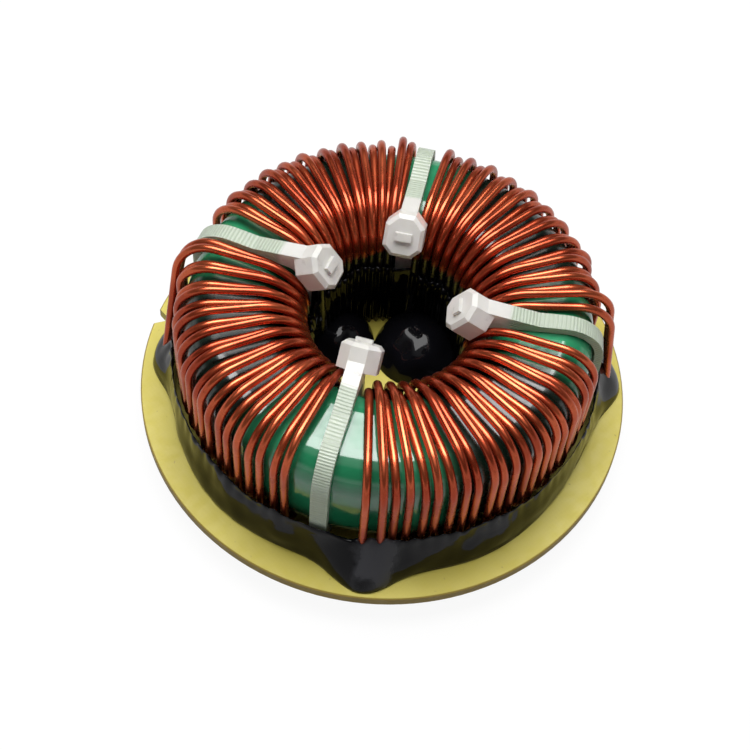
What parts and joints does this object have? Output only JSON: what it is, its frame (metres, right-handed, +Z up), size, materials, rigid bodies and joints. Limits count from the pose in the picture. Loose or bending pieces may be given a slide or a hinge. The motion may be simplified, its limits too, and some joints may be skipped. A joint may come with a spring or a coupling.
{
  "type": "toroidal inductor",
  "caption": "Ring-core inductor: wire windings round a coated core, bound by cable ties and set in epoxy on a round base plate.",
  "frame": {"origin": "centre of the base plate's underside", "axes": "+Z up through the ring's hole, +X to the picture's right, -Y towards the picture's viewer"},
  "size_m": [0.06, 0.06, 0.0258],
  "materials": {
    "laminate": "satin",
    "core_coat": "gloss",
    "enamelled_wire": "gloss",
    "nylon": "satin",
    "epoxy": "gloss"
  },
  "bodies": {
    "root": {"base_plate": "laminate", "ring_core": "core_coat", "winding_front_right_a": "enamelled_wire", "winding_front_right_b": "enamelled_wire", "winding_back_right_a": "enamelled_wire", "winding_back_right_b": "enamelled_wire", "winding_back_left_a": "enamelled_wire", "winding_back_left_b": "enamelled_wire", "winding_front_left_a": "enamelled_wire", "winding_front_left_b": "enamelled_wire", "tie_front": "nylon", "tie_right": "nylon", "tie_back": "nylon", "tie_left": "nylon", "glue_bead": "epoxy", "glue_pool": "epoxy"}
  },
  "joints": []
}
